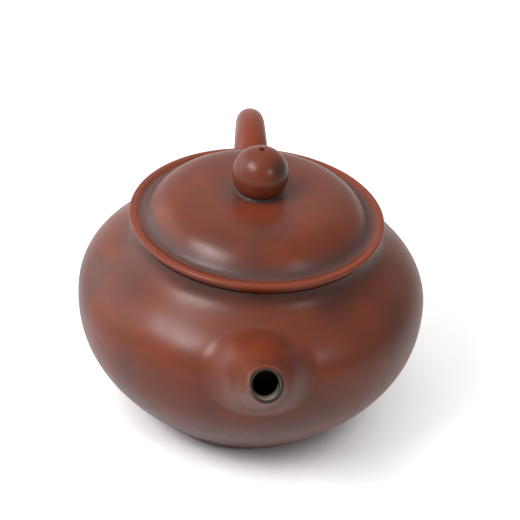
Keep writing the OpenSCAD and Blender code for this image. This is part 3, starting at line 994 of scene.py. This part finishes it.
# %% [markdown]
# ## Knob
# The knob is a ball on a short neck. A hole goes straight down through it, so that air can enter while the
# tea runs out. It was pierced with a wire, so its mouth is slightly rounded. A sphere with a Boolean hole
# would have a sharp mouth, and the turned outline gives ball, rounding and hole in one. Under the ball the
# clay is painted grey and dark as shade.

# %% Make the knob
knob_r, knob_neck_r, knob_seat_r, knob_neck_h = 7.1, 6.2, 5.5, 0.6
seat_over, hole_soft, collar_sunk = 0.1, 0.25, 0.6
ball_seat_r = knob_seat_r + seat_over
knob_z = dome_z + knob_neck_h + math.sqrt(knob_r ** 2 - ball_seat_r ** 2)
ball_start = -math.degrees(math.acos(ball_seat_r / knob_r))
ball_stop = math.degrees(math.acos((air_r + hole_soft) / knob_r))
ball_line = arc(0, knob_z, knob_r, knob_r, ball_start, ball_stop, count=80)
hole_top = ball_line[-1][1]
hole_line = [*arc(air_r + hole_soft, hole_top - hole_soft, -hole_soft, hole_soft, 90, 0, count=5),
             (air_r, dome_z + knob_neck_h)]
knob = turned("knob_clay", [*ball_line, *hole_line], lid_finish, steps=STEPS_HIDDEN)
neck_side = [(knob_neck_r - (knob_neck_r - knob_seat_r) * math.sin(math.pi / 2 * t), dome_z + knob_neck_h * t)
             for t in np.linspace(0, 1, 10)]
collar_line = [(air_r, dome_z - collar_sunk), (knob_neck_r + seat_over, dome_z - collar_sunk), *neck_side,
               (air_r, dome_z + knob_neck_h)]
collar = turned("collar_clay", collar_line, burnished, steps=STEPS_HIDDEN)

# %% Paint the knob
KNOB_MARK, KNOB_MARK_SPREAD, KNOB_MARK_SOOT = (4.2, 4.6, 72.0), 4.5, 0.65
# below the ball's middle the knob is painted grey and dark as shade
UNDER_BALL_GREY_SHADE, UNDER_BALL_SHADE, UNDER_BALL_SHADE_DEPTH = (knob_z - 3.5, knob_z - 5.5), (knob_z - 1.5, knob_z - 5), 0.75


# a soot mark on the knob, and painted shade under the ball
def knob_soot_and_shade(spots):
    return np.maximum(KNOB_MARK_SOOT * smudge(spots, KNOB_MARK, KNOB_MARK_SPREAD),
                      UNDER_BALL_SHADE_DEPTH * soft_step(height(spots), *UNDER_BALL_SHADE))


# the knob's stain layer is painted shade under the ball
paint(knob, stain=lambda p: soft_step(height(p), *UNDER_BALL_GREY_SHADE), soot_and_shade=knob_soot_and_shade)
# the collar in the crease under the ball is painted grey and dark as shade
paint(collar, stain=1.0, soot_and_shade=0.5)
belongs(knob, "lid", "lid_knob")
belongs(collar, "lid", "knob_neck")


# %% [markdown]
# ## Strainer
# The strainer is cut to the inside of the wall in the CAD model and pierced by rings of holes. It sits in
# the dark of the pot, where a finer copy would add nothing, so it keeps that shape and only takes the clay
# finish.

# %% Finish the strainer
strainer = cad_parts["spout_strainer"]
strainer.data.materials.clear()
strainer.data.materials.append(inner_finish)
print("strainer:", len(strainer.data.polygons), "faces, in", inner_finish.name)


# %% [markdown]
# ## Floor
# A white table fills the view. It is paper white to the eye, and greyer to the light that it throws back on
# the pot, which keeps the lower belly dark. What the camera sees glows a little, more so far away, where
# the light of the lamps has faded, so the table runs out to white. Ambient occlusion takes the glow away
# round the foot, which paints a soft contact shadow there, darker than the lamps' own.

# %% Build the floor
TABLE_HALF_M = 3.0
PAPER_SEEN, PAPER_THROWN = (0.97, 0.97, 0.97), (0.60, 0.60, 0.60)
GLOW_MIRRORED = 0.42
FAR_GLOW = {"From Min": 0.2, "From Max": 1.2, "To Min": 0.45, "To Max": 1.0}
OPEN_SKY_M, OPEN_ENOUGH = 1.0, {"From Min": 0.20, "From Max": 0.48}
WHITE = (1.0, 1.0, 1.0, 1.0)


def floor_finish():
    material, tree = empty_material("white_table")
    path = add_node(tree, "ShaderNodeLightPath")
    place = add_node(tree, "ShaderNodeTexCoord")
    away = add_node(tree, "ShaderNodeVectorMath", operation="LENGTH")
    join(tree, place, away, "Object", 0)
    whiter = add_node(tree, "ShaderNodeMapRange", FAR_GLOW, interpolation_type="SMOOTHSTEP")
    join(tree, away, whiter, "Value", "Value")
    seen = arithmetic(tree, "MULTIPLY", (path, "Is Camera Ray"), (whiter, 0))
    lift = arithmetic(tree, "MULTIPLY_ADD", (path, "Is Glossy Ray"), GLOW_MIRRORED, (seen, 0))
    # ambient occlusion dims the glow near the pot: a painted contact shadow
    sky = add_node(tree, "ShaderNodeAmbientOcclusion", {"Distance": OPEN_SKY_M})
    clear = add_node(tree, "ShaderNodeMapRange", OPEN_ENOUGH, interpolation_type="SMOOTHSTEP")
    join(tree, sky, clear, "AO", "Value")
    strength = arithmetic(tree, "MULTIPLY", (lift, 0), (clear, 0))

    paper = add_node(tree, "ShaderNodeBsdfDiffuse")
    tone = mixed(tree, path, PAPER_THROWN, PAPER_SEEN)
    join(tree, tone, paper, MIXED_COLOUR, "Color")
    glow = add_node(tree, "ShaderNodeEmission", {"Color": WHITE})
    join(tree, strength, glow, 0, "Strength")
    both = add_node(tree, "ShaderNodeAddShader")
    join(tree, paper, both, 0, 0)
    join(tree, glow, both, 0, 1)
    output = add_node(tree, "ShaderNodeOutputMaterial")
    join(tree, both, output, 0, "Surface")
    return material


table_mesh = bpy.data.meshes.new("table")
table_corners = [(x * TABLE_HALF_M, y * TABLE_HALF_M, 0) for x, y in ((-1, -1), (1, -1), (1, 1), (-1, 1))]
table_mesh.from_pydata(table_corners, [], [(0, 1, 2, 3)])
table = link_mesh("table", table_mesh)
table_mesh.materials.append(floor_finish())
print("table:", 2 * TABLE_HALF_M, "m wide")


# %% [markdown]
# ## Room
# The room is white where the camera sees it, and gives the pot next to no light of its own. An evenly white
# room would show in the clay's gloss as a grey veil. So in reflections it is bright behind the pot on the
# left and falls off towards the front right, as a light tent does that is open there.

# %% Build the room
ROOM_LIGHT = 0.07
OPEN_SIDE = (0.45, 0.80, 0.20)
TENT_FALL = {"From Min": -0.9, "From Max": 0.6, "To Min": 0.85, "To Max": 0.42}
world = bpy.data.worlds.new("room")
scene.world = world
world.use_nodes = True
room = world.node_tree
room.nodes.clear()
room_path = add_node(room, "ShaderNodeLightPath")
room_place = add_node(room, "ShaderNodeTexCoord")
towards_open = add_node(room, "ShaderNodeVectorMath", {1: OPEN_SIDE}, operation="DOT_PRODUCT")
join(room, room_place, towards_open, "Generated", 0)
tent = add_node(room, "ShaderNodeMapRange", TENT_FALL, interpolation_type="SMOOTHSTEP")
join(room, towards_open, tent, "Value", "Value")
mirrored_room = arithmetic(room, "MULTIPLY", (room_path, "Is Glossy Ray"), (tent, 0))
seen_room = arithmetic(room, "MAXIMUM", (room_path, "Is Camera Ray"), (mirrored_room, 0))
room_level = arithmetic(room, "MAXIMUM", (seen_room, 0), ROOM_LIGHT)
backdrop = add_node(room, "ShaderNodeBackground", {"Color": WHITE})
join(room, room_level, backdrop, 0, "Strength")
join(room, backdrop, add_node(room, "ShaderNodeOutputWorld"), 0, "Surface")
print("room:", len(room.nodes), "nodes")


# %% [markdown]
# ## Lamps
# The main lamp is a soft window high on the left, a little in front, and draws the bright streaks on the
# lid and the shoulder. A small one in front on the right gives the knob and the right shoulder their weak
# second light. The three large panels are the tent: the left one brightens the left flank, the back one and
# the roof only lift the clay, so they are left out of its reflections.

# %% Hang the lamps
LAMP_AIM = Vector((0.0, 0.0, 0.04))
LAMPS = (
    # name, direction from the pot, distance m, width and height m, power W, seen in reflections
    ("main_lamp", (0.341, -0.603, 0.721), 0.9, (0.46, 0.26), 5.0, True),
    ("fill_lamp", (0.623, 0.555, 0.551), 0.9, (0.20, 0.13), 0.8, True),
    ("left_panel", (-0.321, -0.883, 0.342), 1.0, (1.0, 0.7), 2.4, True),
    ("back_panel", (-0.780, 0.300, 0.550), 1.0, (0.8, 0.8), 1.6, False),
    ("tent_roof", (0.100, -0.100, 1.000), 1.0, (0.8, 0.8), 4.2, False),
)


def hang_lamp(name, direction, distance, size, power, mirrored):
    data = bpy.data.lights.new(name, "AREA")
    data.shape = "RECTANGLE"
    data.size, data.size_y = size
    data.energy = power
    lamp = bpy.data.objects.new(name, data)
    towards = Vector(direction).normalized()
    lamp.location = LAMP_AIM + towards * distance
    lamp.rotation_euler = (-towards).to_track_quat("-Z", "Y").to_euler()
    lamp.visible_glossy = mirrored
    scene.collection.objects.link(lamp)
    print(f"{name}: {power} W from {distance} m")


for lamp in LAMPS:
    hang_lamp(*lamp)
scene.view_settings.view_transform = "Standard"
